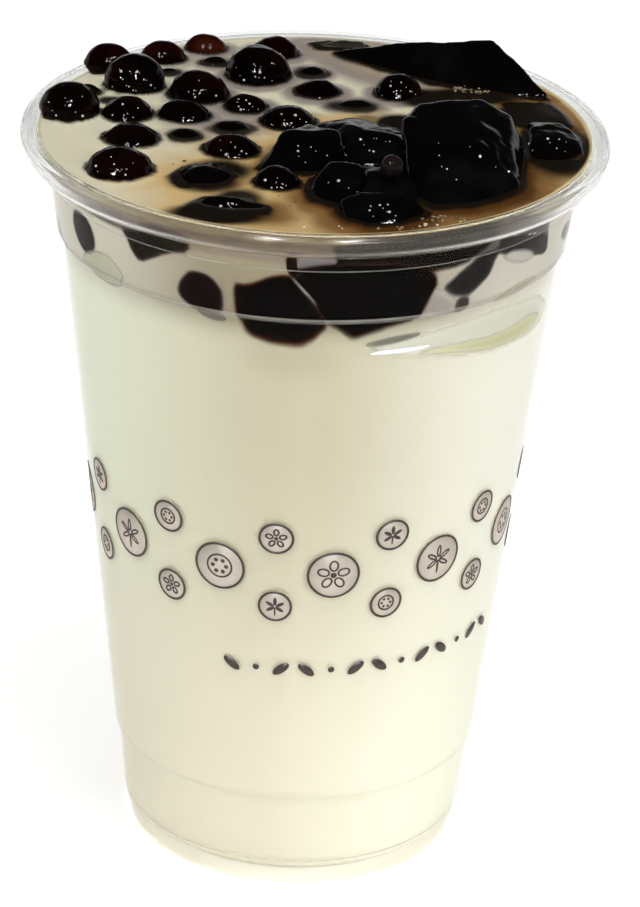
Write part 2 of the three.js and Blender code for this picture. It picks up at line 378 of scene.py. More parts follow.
def topping_material(name, deep, patch_tone_and_sheen, film, film_height, lump, lump_height, gloss=0.09):
    """Wet dark gel: deep colour, lighter patches of a second tone, and a thin milky film just over the
    drink.
    """
    material, nodes, links, shader = principled(name, roughness=0.06, ior=1.42, specular_ior_level=gloss)
    wet = relief(nodes, lump, lump_height, 0.012)
    links.new(wet.outputs["Normal"], shader.inputs["Normal"])
    place = nodes.new("ShaderNodeTexCoord")
    patches = node(nodes, "ShaderNodeTexNoise", Scale=130.0, Detail=1.0)
    links.new(place.outputs["Object"], patches.inputs["Vector"])
    # Lighter patches of a second tone. On the bare grass jelly this is a painted grey sheen.
    body = blend(nodes, links, patches.outputs["Fac"], deep, patch_tone_and_sheen, 0.45, 0.75)
    split = nodes.new("ShaderNodeSeparateXYZ")
    links.new(place.outputs["Object"], split.inputs[0])
    skin = blend(
        nodes, links, split.outputs["Z"], film, body, (LEVEL + 0.2) * MM, (LEVEL + 0.2 + film_height) * MM,
    )
    links.new(skin, shader.inputs["Base Color"])
    return material


def sunk_material(name, core, edge):
    """Gel or ice seen through the wall, fading out where it sinks away into the drink."""
    material, nodes, links, shader = principled(name, roughness=0.4, ior=1.35, specular_ior_level=0.0)
    near = stirred(nodes, links, "near_wall", 1.6, 0.25)
    links.new(blend(nodes, links, near, edge, core, 0.35, 1.0), shader.inputs["Base Color"])
    links.new(blend(nodes, links, near, (0, 0, 0), (1, 1, 1), 0.12, 0.80), shader.inputs["Alpha"])
    return material


def mottled_material(name, first, second, size, roughness, **values):
    """Two close colours in soft patches of a size in mm."""
    material, nodes, links, shader = principled(name, roughness=roughness, **values)
    place = nodes.new("ShaderNodeTexCoord")
    cloud = node(nodes, "ShaderNodeTexNoise", Scale=1000.0 / size, Detail=3.0)
    links.new(place.outputs["Object"], cloud.inputs["Vector"])
    colour = blend(nodes, links, cloud.outputs["Fac"], first, second, 0.35, 0.65)
    links.new(colour, shader.inputs["Base Color"])
    return material


class CupSettings(bpy.types.PropertyGroup):
    """Clear cup."""

    steps: IntProperty(name="Steps", description="Steps round the cup", default=192, min=24)
    corner: FloatProperty(
        name="Corner", description="Rounding of the wall's corners in mm", default=0.3, min=0.0
    )


class DrinkSettings(bpy.types.PropertyGroup):
    """Milk tea."""

    rise: FloatProperty(name="Rise", description="Climb of the milk round a topping in mm", default=0.65)
    # The side's colours carry painted light and shade: shaded on the left, lit on the right.
    shaded_left_milk: FloatVectorProperty(
        name="Shaded left milk", description="Upper left of the side", subtype="COLOR",
        default=(0.725, 0.755, 0.60),
    )
    mid_milk: FloatVectorProperty(
        name="Middle milk", description="Side under the jelly", subtype="COLOR",
        default=(0.50, 0.465, 0.335),
    )
    lit_right_milk: FloatVectorProperty(
        name="Lit right milk", description="Upper right of the side", subtype="COLOR",
        default=(0.755, 0.735, 0.64),
    )
    low_milk: FloatVectorProperty(
        name="Low milk", description="Foot of the side", subtype="COLOR", default=(0.705, 0.66, 0.52)
    )
    lit_low_right_milk: FloatVectorProperty(
        name="Low right milk", description="Foot of the side, right", subtype="COLOR",
        default=(0.82, 0.805, 0.66),
    )
    # Milk behind the collar, darkened as painted shade.
    collar_left: FloatVectorProperty(
        name="Left collar milk", description="Behind the collar, left", subtype="COLOR",
        default=(0.55, 0.52, 0.43),
    )
    collar_front: FloatVectorProperty(
        name="Front collar milk", description="Behind the collar, front", subtype="COLOR",
        default=(0.265, 0.23, 0.155),
    )
    collar_right: FloatVectorProperty(
        name="Right collar milk", description="Behind the collar, right", subtype="COLOR",
        default=(0.49, 0.46, 0.39),
    )
    # Colour of the painted shade under the lip.
    shade_under_lip: FloatVectorProperty(
        name="Milk under the lip", description="Painted shade on the milk behind the lip", subtype="COLOR",
        default=(0.20, 0.165, 0.125),
    )
    between_pearls: FloatVectorProperty(
        name="Milk between pearls", description="Shaded surface between toppings", subtype="COLOR",
        default=(0.34, 0.29, 0.255),
    )
    top_milk: FloatVectorProperty(
        name="Top milk", description="Surface away from jelly", subtype="COLOR",
        default=(0.86, 0.81, 0.60),
    )
    light_tea: FloatVectorProperty(
        name="Light tea", description="Surface, lightly tinted", subtype="COLOR",
        default=(0.75, 0.53, 0.235),
    )
    tea: FloatVectorProperty(
        name="Tea", description="Surface near jelly", subtype="COLOR", default=(0.27, 0.145, 0.048)
    )
    dark_tea: FloatVectorProperty(
        name="Dark tea", description="Surface against jelly", subtype="COLOR",
        default=(0.09, 0.035, 0.008),
    )
    gel_below: FloatVectorProperty(
        name="Gel below", description="Toppings just under the surface", subtype="COLOR",
        default=(0.010, 0.007, 0.0045),
    )


class ToppingSettings(bpy.types.PropertyGroup):
    """Pearls and jelly."""

    voxel: FloatProperty(
        name="Voxel", description="Mesh step of a soft topping in mm", default=0.36, min=0.2
    )
    lumps: FloatProperty(
        name="Lumps", description="Unevenness of a soft topping in mm", default=0.28, min=0.0
    )
    pearl: FloatVectorProperty(
        name="Pearl", description="Tapioca", subtype="COLOR", default=(0.002, 0.001, 0.0008)
    )
    pearl_warm: FloatVectorProperty(
        name="Warm pearl", description="Tapioca that lets light in", subtype="COLOR",
        default=(0.007, 0.0016, 0.001),
    )
    jelly: FloatVectorProperty(
        name="Jelly", description="Grass jelly", subtype="COLOR", default=(0.002, 0.0015, 0.0013)
    )


class PrintSettings(bpy.types.PropertyGroup):
    """Printed band."""

    badge: FloatProperty(name="Badge", description="Half width of a badge in mm", default=4.3)
    line: FloatProperty(name="Line", description="Width of a printed line in mm", default=0.38)
    ink: FloatVectorProperty(
        name="Ink", description="Print", subtype="COLOR", default=(0.035, 0.018, 0.012)
    )
    fill: FloatVectorProperty(
        name="Fill", description="Badge ground", subtype="COLOR", default=(0.60, 0.53, 0.44)
    )


class StageSettings(bpy.types.PropertyGroup):
    """Floor, lights and camera."""

    lens: FloatProperty(
        name="Lens", description="Focal length in mm", default=162.1, subtype="DISTANCE_CAMERA"
    )
    floor: FloatVectorProperty(
        name="Floor", description="Floor", subtype="COLOR", default=(0.95, 0.95, 0.95)
    )


SETTINGS = {
    "cup_settings": CupSettings,
    "drink_settings": DrinkSettings,
    "topping_settings": ToppingSettings,
    "print_settings": PrintSettings,
    "stage_settings": StageSettings,
}


class MILKTEA_OT_cup(bpy.types.Operator):
    """Clear cup with a rolled lip, collar and stacking step"""

    bl_idname = "milktea.cup"
    bl_label = "Cup"

    def execute(self, context):
        settings = context.scene.cup_settings
        bm = bmesh.new()
        profile = [(0.0, FLOOR_UNDER), *reversed(OUTSIDE), *reversed(INSIDE), (0.0, FLOOR_TOP)]
        turn_profile(bm, profile, settings.steps, settings.corner)
        for face in bm.faces:
            centre = face.calc_center_median() / MM
            out = math.hypot(centre.x, centre.y)
            if centre.z > 121.6 and out > 43.0:
                face.material_index = 1
            elif centre.z < 3.3 and out > 25.0:
                face.material_index = 2
        clear = plastic_material("clear_plastic", (0.975, 0.98, 0.97), 0.02, 1.0, 1.10)
        cup = add_piece("cup_wall", bm, clear, ("cup",))
        # The lip is painted darker in front and streaked with painted reflections.
        cup.data.materials.append(plastic_material(
            "lip_plastic", (0.90, 0.905, 0.89), 0.16, 0.97, 1.25, (0.54, 0.49, 0.43),
        ))
        # Painted light: the foot plastic glows faintly, though it is no lamp, to keep the milky foot
        # bright.
        foot = plastic_material("glowing_foot_plastic", (0.93, 0.90, 0.79), 0.35, 0.05, 1.3)
        glow = foot.node_tree.nodes["Principled BSDF"].inputs
        glow["Emission Color"].default_value = (0.95, 0.91, 0.78, 1)
        glow["Emission Strength"].default_value = 0.1
        cup.data.materials.append(foot)
        # Thin moulded beads at the shoulder, the collar step and the floor line. Their pale grey is a
        # painted highlight along these steps.
        ridge = mottled_material(
            "ridge_highlight_plastic", (0.36, 0.34, 0.29), (0.50, 0.48, 0.42), 4.0, 0.3, alpha=0.24,
        )
        bm = bmesh.new()
        for radius, height, thick, tall in (
            (41.47, 109.0, 0.06, 0.10), (41.30, 109.3, 0.05, 0.20), (42.97, 118.2, 0.05, 0.09),
            (28.72, 5.5, 0.05, 0.16),
        ):
            ring = [
                (radius + thick * math.cos(a), height + tall * math.sin(a))
                for a in (math.radians(36 * step) for step in range(10))
            ]
            loop = bmesh.new()
            turn_profile(loop, [*ring, ring[0]], settings.steps)
            mesh = bpy.data.meshes.new("ridge_ring")
            loop.to_mesh(mesh)
            loop.free()
            bm.from_mesh(mesh)
            bpy.data.meshes.remove(mesh)
        add_piece("wall_ridge_highlights", bm, ridge)
        return {"FINISHED"}


# Gel just under the surface: centre x and y, half width and half depth in mm, and how dark it shows.
GEL_BELOW = [
    (-17.0, -25.0, 6.5, 5.0, 0.85), (-13.0, -36.2, 8.0, 3.4, 0.9), (34.0, 10.0, 7.5, 5.0, 0.8),
    (24.0, 18.0, 13.0, 4.5, 0.85), (5.5, 11.3, 5.5, 3.5, 0.75), (-14.0, -1.4, 4.8, 2.8, 0.7),
    (39.2, -5.0, 7.6, 13.5, 0.97), (33.6, -5.0, 3.5, 7.5, 0.95), (13.6, 4.6, 5.0, 5.0, 0.95),
    (17.5, 15.5, 6.0, 4.0, 0.85), (-14.5, -38.0, 9.5, 4.6, 0.95), (-15.0, -19.5, 6.5, 5.5, 0.85),
    (-11.5, -31.0, 4.5, 5.0, 0.8), (-33.5, 10.0, 3.0, 2.4, 0.8), (8.6, 5.4, 4.0, 3.0, 0.55),
]


def oval_distance(x, y, at_x, at_y, half_x, half_y):
    """Distance from the middle of an oval, 1 on its edge."""
    return math.hypot((x - at_x) / half_x, (y - at_y) / half_y)


class MILKTEA_OT_drink(bpy.types.Operator):
    """Milk tea up to the brim, climbing a little round each topping"""

    bl_idname = "milktea.drink"
    bl_label = "Drink"

    def execute(self, context):
        settings = context.scene.drink_settings
        heights = sorted({z for r, z in INSIDE[1:10]} | {8.0 + 2.0 * step for step in range(58)})
        wall = [(radius_at(INSIDE, z) + INTO_WALL, z) for z in heights]
        top = [43.4 - 0.42 * step for step in range(103)]
        profile = [(0.0, FLOOR_TOP + 0.15), (26.3, FLOOR_TOP + 0.15), *wall, (44.6, LEVEL + 0.15)]
        profile += [(43.8, LEVEL + 0.02), *((r, LEVEL) for r in top), (0.0, LEVEL)]
        bm = bmesh.new()
        tea = bm.verts.layers.float.new("tea")
        shade = bm.verts.layers.float.new("shade")
        on_top = bm.verts.layers.float.new("on_top")
        shade_between_toppings = bm.verts.layers.float.new("shade_between_toppings")
        collar = bm.verts.layers.float.new("collar")
        shade_under_lip = bm.verts.layers.float.new("shade_under_lip")
        turn_profile(bm, profile, 320)
        low = nearest([f"pearl_{n}" for n in (13, 16, 18, 19, 20, 22, 25)])
        pearls = nearest([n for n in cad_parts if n.startswith("pearl")])
        jelly = nearest([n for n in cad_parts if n.startswith("jelly")])
        for vert in bm.verts:
            x, y, z = vert.co / MM
            around = math.degrees(math.atan2(x, -y))
            if z < LEVEL - 0.3 or math.hypot(x, y) > 44.0:
                vert[on_top] = between(LEVEL - 1.5, LEVEL - 0.3, z)
                # Masks of painted shade: the collar band darkening towards the top, and an oval under the
                # jelly chunks.
                shade_under_chunks = between(1.0, 0.1, oval_distance(around, z, -4.0, 102.5, 24.0, 9.0))
                vert[collar] = max(between(101.0, 112.0, z), 0.36 * shade_under_chunks)
                # Mask of painted shade just under the lip.
                vert[shade_under_lip] = between(118.3, 120.5, z) * between(84.0, 62.0, abs(around))
                continue
            to_pearl = pearls(x, y, LEVEL + 0.3)
            to_low = low(x, y, LEVEL + 0.3)
            to_jelly = jelly(x, y, LEVEL + 0.3)
            climb = max(
                0.9 * math.exp(-abs(to_pearl) / 0.7) * between(0.2, 1.2, to_low),
                math.exp(-abs(to_jelly) / 0.8),
                0.25 * math.exp(-abs(to_low) / 1.0),
            )
            sunk = between(-0.7, -1.8, min(to_pearl, to_jelly))
            ripple = noise.noise(Vector((x * 0.12, y * 0.12, 3.7)))
            fade = between(43.6, 41.5, math.hypot(x, y))
            vert.co.z += (settings.rise * climb * (1 - sunk) - 1.2 * sunk + 0.10 * ripple) * fade * MM
            vert[on_top] = 1.0
            back = between(6.0, 14.0, y) * between(28.0, 18.0, x)
            # Mask of painted shade between the pearls on the left and near the jelly at the back.
            vert[shade_between_toppings] = max(
                between(4.0, 0.3, to_pearl) * between(-38.0, -14.0, x) * between(-24.0, 2.0, y),
                back * between(9.0, 2.0, to_jelly),
            )
            wander = 0.5 * noise.noise(Vector((x * 0.35, y * 0.35, 1.3)))
            towards_front = between(16.0, -30.0, y)
            towards_right = between(-30.0, 14.0, x)
            vert[tea] = 0.33 * towards_front * between(-46.0, -14.0, x) + (1 - 0.8 * back) * math.exp(
                -max(0.0, to_jelly + wander) / (2.0 + 3.2 * towards_right)
            ) * (0.15 + 0.75 * towards_right)
            vert[shade] = max(
                0.80 * between(0.95, 0.05, to_pearl + 0.4 * wander) * fade,
                0.70 * between(1.3, 0.2, to_low + wander) * fade,
                0.92 * between(1.5, 0.2, to_jelly + 0.6 * wander) * fade,
                *(depth * between(1.25, 0.45, oval_distance(x, y, *patch)) for *patch, depth in GEL_BELOW),
            )
        add_piece("milk", bm, milk_material(settings), ("drink",))
        return {"FINISHED"}


class MILKTEA_OT_pearls(bpy.types.Operator):
    """Tapioca pearls, soft and wet"""

    bl_idname = "milktea.pearls"
    bl_label = "Pearls"

    def execute(self, context):
        settings = context.scene.topping_settings
        film = (0.035, 0.022, 0.012)
        clean = topping_material(
            "tapioca", settings.pearl, settings.pearl_warm, film, 0.5, 1.5, 0.10, 0.06,
        )
        filmed = topping_material(
            "tapioca_under_film", settings.pearl, (0.004, 0.003, 0.0025), (0.030, 0.027, 0.018), 0.5, 2.0,
            0.08,
        )
        # Painted light: pearls where light shows through get lit copies of the tapioca, redder and
        # brighter. Pearl_04 is the brightest.
        lit = topping_material(
            "tapioca_lit", (0.005, 0.0008, 0.0005), (0.022, 0.003, 0.0015), film, 0.5, 1.8, 0.1, 0.06,
        )
        red_lit = topping_material(
            "tapioca_red_lit", (0.02, 0.0035, 0.0015), (0.06, 0.012, 0.004), film, 0.5, 1.8, 0.1, 0.06,
        )
        small = topping_material(
            "tapioca_milky", (0.003, 0.002, 0.002), (0.014, 0.010, 0.0095), (0.01, 0.008, 0.006), 0.5, 1.5,
            0.08,
        )
        under_film = {"pearl_13", "pearl_16", "pearl_18", "pearl_19", "pearl_20", "pearl_22", "pearl_25"}
        # Pearls given the lit, redder copy of the tapioca.
        lit_reddish = {"pearl_02", "pearl_03", "pearl_07"}
        for name in sorted(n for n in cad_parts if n.startswith("pearl")):
            material = filmed if name in under_film else lit if name in lit_reddish else clean
            if name == "pearl_26":
                material = small
            elif name == "pearl_04":
                material = red_lit
            soft_copy(f"{name}_soft", name, settings.voxel, 8, settings.lumps, material)
        return {"FINISHED"}


class MILKTEA_OT_jelly(bpy.types.Operator):
    """Blocks of grass jelly with soft cut edges"""

    bl_idname = "milktea.jelly"
    bl_label = "Jelly"

    def execute(self, context):
        settings = context.scene.topping_settings
        film = (0.05, 0.025, 0.010)
        # Painted sheen: the grass jelly's faint grey patches stand in for soft reflections on its wet
        # faces.
        clean = topping_material(
            "grass_jelly", settings.jelly, (0.004, 0.004, 0.0045), film, 0.35, 3.2, 0.09, 0.07,
        )
        filmed = topping_material(
            "grass_jelly_under_film", (0.014, 0.013, 0.010), (0.03, 0.026, 0.022), (0.06, 0.05, 0.035), 0.9,
            4.0, 0.1,
        )
        for name in sorted(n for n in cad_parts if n.startswith("jelly")):
            material = filmed if name in {"jelly_filmed", "jelly_back"} else clean
            soft_copy(
                f"{name}_soft", name, settings.voxel * 1.25, 10, settings.lumps, material,
            )
        return {"FINISHED"}


# What shows through the wall, as corners or as an oval: degrees round from the front and height in mm.
# "soft" is the width of its blurred edge in mm, "fading" widens it towards the foot, "core" and "edge" are
# its colours, "passes" rounds its corners, and "proud" is how far it stands out of the milk in mm.
BLACK = (0.0015, 0.0012, 0.001)
BROWN = (0.07, 0.022, 0.008)
DUSK = (0.16, 0.14, 0.12)
SUNK = {
    "left_chunk": {
        "corners": [
            (-16.2, 114.8), (-13, 114.7), (-8.4, 116.6), (-5.2, 117.2), (-2.9, 116.4), (-1, 114.9),
            (2.2, 111.6), (4.7, 108.3), (2.4, 105.3), (-1, 103.3), (-7.3, 103.5), (-14.2, 104.9),
            (-16, 109.8),
        ],
        "soft": 1.1, "core": BLACK, "edge": BROWN, "fading": 2.4, "passes": 1,
    },
    "right_chunk": {
        "corners": [
            (-3.8, 118.2), (3.5, 119.6), (16.0, 119.6), (24.8, 118.4), (28.4, 115), (26.4, 111.8),
            (25, 108), (16.2, 106.5), (9.8, 104.6), (6.9, 106.6), (3.7, 108.2), (0.9, 111.8),
            (-2.2, 115), (-3.8, 116.2),
        ],
        "soft": 1.3, "core": BLACK, "edge": (0.026, 0.010, 0.006), "fading": 1.6,
        "passes": 1, "proud": 0.10,
    },
    "crack": {
        "at": (-1.0, 114.4), "size": (3.3, 0.2), "tilt": -50, "soft": 0.2, "core": (0.30, 0.27, 0.27),
        "edge": (0.10, 0.09, 0.09), "proud": 0.16,
    },
    "collar_left": {
        "corners": [
            (4.4, 124.4), (4.4, 117.0), (24.8, 116.6), (34, 116.8), (39, 118.7), (42, 121.5),
            (40, 124.4),
        ],
        "soft": 1.6, "core": (0.004, 0.003, 0.002), "edge": (0.05, 0.036, 0.026),
        "passes": 1, "proud": 0.05,
    },
    "collar_right": {
        "corners": [
            (33, 124.4), (36, 117.2), (44, 117.2), (54, 115.6), (63, 113.4), (61, 119.5), (50, 124.4),
        ],
        "soft": 2.2, "core": (0.085, 0.072, 0.06), "edge": (0.16, 0.14, 0.12),
        "proud": 0.03,
    },
    "panel": {
        "corners": [
            (42.5, 121), (50, 119.6), (61.4, 117), (62.8, 113), (56, 114.4), (46, 116.6), (42.8, 118),
        ],
        "soft": 0.9, "core": (0.016, 0.014, 0.012), "edge": (0.06, 0.052, 0.045),
        "passes": 1, "proud": 0.09,
    },
    "streak_a": {
        "at": (48, 120.0), "size": (1.9, 0.13), "tilt": -9, "soft": 0.15, "core": (0.62, 0.58, 0.55),
        "edge": (0.24, 0.22, 0.20), "proud": 0.15,
    },
    "streak_b": {
        "at": (53.5, 118.8), "size": (2.1, 0.12), "tilt": -12, "soft": 0.15, "core": (0.66, 0.62, 0.60),
        "edge": (0.24, 0.22, 0.20), "proud": 0.15,
    },
    "bar": {
        "corners": [
            (-4.3, 121.4), (-5.1, 119.6), (-4.8, 117.9), (-3.4, 116.4), (-1.8, 117.2), (-2.9, 119.2),
            (-2.7, 121.4),
        ],
        "soft": 0.4, "core": (0.006, 0.002, 0.002), "edge": (0.05, 0.022, 0.016),
        "proud": 0.12,
    },
    "grey_patch": {
        "corners": [
            (-2.6, 121.4), (5.2, 121.4), (5.2, 117.9), (-2.4, 117.9),
        ],
        "soft": 1.5, "core": (0.14, 0.125, 0.125), "edge": (0.24, 0.205, 0.18),
        "proud": 0.06,
    },
    "round_chunk": {
        "corners": [
            (-26, 115.6), (-21.5, 115.4), (-18.8, 113), (-18.6, 109.6), (-21, 108.4), (-25.4, 108.7),
            (-29.6, 110.8), (-28.6, 113.4),
        ],
        "soft": 1.0, "core": (0.005, 0.0018, 0.0016), "edge": (0.09, 0.065, 0.058),
        "passes": 1,
    },
    "round_tail": {
        "at": (-21.8, 108.0), "size": (2.3, 0.7), "tilt": -8, "soft": 0.5, "core": DUSK, "edge": DUSK,
    },
    "sprawl": {
        "corners": [
            (-43.6, 119.8), (-41.3, 115.8), (-39.2, 114.4), (-36, 115.6), (-31, 117.7), (-26, 118.8),
            (-25.4, 121.8), (-33, 122.4), (-39.4, 121),
        ],
        "soft": 1.1, "core": (0.010, 0.007, 0.005), "edge": (0.10, 0.065, 0.045),
        "passes": 1,
    },
    "sprawl_above": {
        "at": (-46, 120.6), "size": (6.6, 1.2), "tilt": 3, "soft": 0.9, "core": (0.09, 0.075, 0.068),
        "edge": (0.17, 0.15, 0.135),
    },
    "oval_pearl": {
        "at": (-58.8, 114.7), "size": (3.3, 3.6), "tilt": 28, "soft": 1.2, "core": (0.010, 0.005, 0.004),
        "edge": (0.06, 0.045, 0.038),
    },
    "left_mark": {
        "at": (-79, 109.5), "size": (3.2, 3.2), "tilt": 0, "soft": 1.4, "core": (0.08, 0.07, 0.06),
        "edge": DUSK,
    },
    "smear": {
        "corners": [
            (29.4, 113.6), (32, 111.8), (36.2, 110.9), (39, 112.2), (41.9, 113.9), (42.8, 116.4),
            (44.6, 118.6), (38.4, 118.9), (36, 117.1), (32.4, 115.4),
        ],
        "soft": 1.3, "core": (0.012, 0.010, 0.009), "edge": (0.13, 0.115, 0.105),
        "passes": 1, "proud": 0.08,
    },
    "smear_light": {
        "at": (51, 115.3), "size": (4.4, 1.3), "tilt": -16, "soft": 1.9, "core": (0.39, 0.36, 0.325),
        "edge": (0.44, 0.41, 0.36), "proud": 0.12,
    },
    "spot": {
        "at": (35.2, 109.8), "size": (1.3, 1.5), "tilt": 0, "soft": 0.9, "core": (0.03, 0.024, 0.02),
        "edge": (0.16, 0.14, 0.13),
    },
    "right_mark": {
        "at": (76, 113.6), "size": (3.6, 1.5), "tilt": -14, "soft": 1.0, "core": (0.05, 0.04, 0.035),
        "edge": DUSK,
    },
    "haze": {
        "corners": [
            (25, 115.6), (31, 113.6), (37, 110), (34, 107.6), (24, 107.4), (22, 111),
        ],
        "soft": 3.2, "core": (0.29, 0.26, 0.235), "edge": (0.46, 0.43, 0.36), "proud": 0.03,
    },
    "ice_left": {
        "corners": [
            (-60.8, 110.2), (-55.3, 112.5), (-49.3, 113.2), (-44.5, 110.8), (-46.8, 108.1),
            (-51.4, 107.2), (-58.7, 107.6),
        ],
        "soft": 1.3, "core": (0.42, 0.41, 0.305), "edge": (0.46, 0.44, 0.35),
    },
    "ice_right": {
        "corners": [
            (10, 104.4), (18, 101.5), (40, 98.8), (70, 97), (76, 101), (67, 105.8), (48, 107.6),
            (26, 106.4),
        ],
        "soft": 3.4, "core": (0.56, 0.55, 0.46), "edge": (0.68, 0.66, 0.54), "proud": 0.04,
    },
    "ice_rim": {
        "corners": [
            (24, 101.8), (36, 100.4), (50, 98.8), (66, 98.6), (70, 100.4), (64, 102.4), (50, 102),
            (30, 103),
        ],
        "soft": 2.0, "core": (0.46, 0.445, 0.26), "edge": (0.62, 0.60, 0.44), "proud": 0.08,
    },
    "ice_shade": {
        "at": (19.5, 105.0), "size": (4.4, 0.55), "tilt": 7, "soft": 0.6, "core": (0.15, 0.14, 0.115),
        "edge": (0.32, 0.31, 0.25), "proud": 0.11,
    },
    "ice_glint": {
        "at": (21.5, 103.0), "size": (5.2, 0.42), "tilt": 1, "soft": 0.3, "core": (0.95, 0.97, 0.93),
        "edge": (0.80, 0.82, 0.76), "proud": 0.14,
    },
    "ice_wedge": {
        "at": (52.5, 109.0), "size": (5.0, 1.0), "tilt": 4, "soft": 0.8, "core": (0.36, 0.33, 0.22),
        "edge": (0.5, 0.47, 0.36), "proud": 0.11,
    },
}


def rounded(corners, passes):
    """Cuts the corners of a closed outline again and again until it runs smoothly."""
    for _ in range(passes):
        corners = [
            (a[0] + (b[0] - a[0]) * t, a[1] + (b[1] - a[1]) * t)
            for a, b in zip(corners, corners[1:] + corners[:1]) for t in (0.2, 0.8)
        ]
    return corners


def oval(centre, size, tilt, corners=28):
    """Corners of an oval in mm, tilted by degrees."""
    tilt = math.radians(tilt)
    points = []
    for step in range(corners):
        a = 2 * math.pi * step / corners
        u, v = size[0] * math.cos(a), size[1] * math.sin(a)
        points.append((
            centre[0] + u * math.cos(tilt) - v * math.sin(tilt),
            centre[1] + u * math.sin(tilt) + v * math.cos(tilt),
        ))
    return points


def sunk_piece(name, form):
    """A slab that follows the inside of the wall, its face a hair proud of the milk inside its outline."""
    if "corners" in form:
        mid = sum(z for a, z in form["corners"]) / len(form["corners"])
        reach = radius_at(INSIDE, mid)
        flat = rounded([(math.radians(a) * reach, z) for a, z in form["corners"]], form.get("passes", 2))
    else:
        reach = radius_at(INSIDE, form["at"][1])
        flat = oval((math.radians(form["at"][0]) * reach, form["at"][1]), form["size"], form["tilt"])
    margin, grown = 1.7, min(0.35, 0.3 * form["soft"])
    low_s, high_s = min(s for s, z in flat) - margin, max(s for s, z in flat) + margin
    low_z, high_z = min(z for s, z in flat) - margin, min(124.6, max(z for s, z in flat) + margin)
    step, thick = 0.35, 2.6
    bm = bmesh.new()
    near_wall = bm.verts.layers.float.new("near_wall")
    bmesh.ops.create_grid(
        bm, x_segments=math.ceil((high_s - low_s) / step), y_segments=math.ceil((high_z - low_z) / step),
        size=0.5,
    )
    bmesh.ops.scale(bm, vec=(high_s - low_s, high_z - low_z, 1), verts=bm.verts)
    bmesh.ops.translate(bm, vec=((high_s + low_s) / 2, (high_z + low_z) / 2, 0), verts=bm.verts)
    far = [
        face for face in bm.faces
        if outline_distance(flat, face.calc_center_median().x, face.calc_center_median().y) > 1.25
    ]
    bmesh.ops.delete(bm, geom=far, context="FACES")
    front = {vert: outline_distance(flat, vert.co.x, vert.co.y) - grown for vert in bm.verts}
    bmesh.ops.extrude_face_region(bm, geom=bm.faces[:], use_keep_orig=True)
    for vert in bm.verts:
        s, z = vert.co.x, vert.co.y
        if vert in front:
            depth = form.get("proud", 0.07) - 1.4 * between(0.45, 0.9, front[vert])
            soft = form["soft"] * (1 + form.get("fading", 0.0) * between((low_z + high_z) / 2, low_z, z))
            vert[near_wall] = between(-0.5 * min(1.0, form["soft"]), soft, -front[vert])
        else:
            depth = -thick
            vert[near_wall] = 0.0
        radius = radius_at(INSIDE, z) + INTO_WALL + depth
        turn = s / reach
        vert.co = Vector((math.sin(turn) * radius, -math.cos(turn) * radius, z)) * MM
    bmesh.ops.recalc_face_normals(bm, faces=bm.faces)
    return add_piece(f"sunk_{name}", bm, sunk_material(f"seen_{name}", form["core"], form["edge"]))


class MILKTEA_OT_sunk(bpy.types.Operator):
    """Jelly, pearls and ice that lie against the inside of the wall"""

    bl_idname = "milktea.sunk"
    bl_label = "Sunk pieces"

    def execute(self, context):
        for name, form in SUNK.items():
            sunk_piece(name, form)
        for step in range(6):
            form = {
                "at": (118 + 25 * step, 116.5 - 3.1 * (step * 2 % 3)),
                "size": (3.4 + 0.7 * (step % 3), 2.6),
                "tilt": 30 - 17 * step, "soft": 1.0, "core": (0.02, 0.014, 0.011), "edge": DUSK,
            }
            sunk_piece(f"far_{step + 1}", form)
        return {"FINISHED"}


def scattered(bm, seed, count, centre, spread, sizes, height, squash):
    """Small balls at seeded places in an oval patch of the surface, in mm."""
    for number in range(count):
        turn = 2 * math.pi * (seed * 0.37 + number * TURN_STEP)
        out = math.sqrt((seed * 0.71 + number * OUT_STEP) % 1.0)
        size = sizes[0] + (sizes[1] - sizes[0]) * ((seed * 0.13 + number * SIZE_STEP) % 1.0) ** 2
        across, along = spread[0] * out * math.cos(turn), spread[1] * out * math.sin(turn)
        at = (centre[0] + across, centre[1] + along, height)
        place = Matrix.Translation(Vector(at) * MM) @ Matrix.Diagonal((1, 0.8, squash, 1))
        bmesh.ops.create_icosphere(bm, subdivisions=2, radius=size * MM, matrix=place)


# Tiny white beads on the lower front of a topping, by the topping's number of them: partly air beads,
# partly painted glints where highlights fall.
BEADS = {
    "pearl_01": 7, "pearl_05": 15, "pearl_06": 9, "pearl_08": 3, "pearl_09": 5, "pearl_11": 8,
    "pearl_14": 7, "pearl_15": 7, "pearl_17": 10, "pearl_23": 4, "pearl_24": 11, "pearl_26": 4,
    "jelly_heap": 7, "jelly_centre": 12, "jelly_big": 9, "jelly_right": 8, "jelly_front": 10,
    "jelly_strip": 8, "jelly_facets": 4,
}


def beads(bm, topping, seed, count):
    """Tiny white beads at seeded places on the side of a topping that faces the front, just over the milk:
    partly air beads, partly painted glints.
    """
    skin = bmesh.new()
    skin.from_mesh(bpy.data.objects[f"{topping}_soft"].data)
    tree = BVHTree.FromBMesh(skin)
    shown = [vert.co for vert in skin.verts if vert.co.z > (LEVEL + 0.5) * MM]
    middle = sum(shown, Vector()) / len(shown)
    skin.free()
    middle.z = LEVEL * MM
    for number in range(count):
        turn = math.radians(-50 + 100 * ((seed * 0.37 + number * TURN_STEP) % 1.0))
        lift = math.radians(12 + 44 * ((seed * 0.71 + number * OUT_STEP) % 1.0) ** 1.5)
        size = (0.22 if number % 6 == 1 else 0.09) + 0.10 * ((seed * 0.13 + number * SIZE_STEP) % 1.0) ** 2
        away = Vector((math.sin(turn) * math.cos(lift), -math.cos(turn) * math.cos(lift), math.sin(lift)))
        place, _, _, far = tree.ray_cast(middle + 0.03 * away, -away)
        if place and place.z > (LEVEL + 0.3) * MM:
            spot = Matrix.Translation(place)
            bmesh.ops.create_icosphere(bm, subdivisions=1, radius=size * MM, matrix=spot)


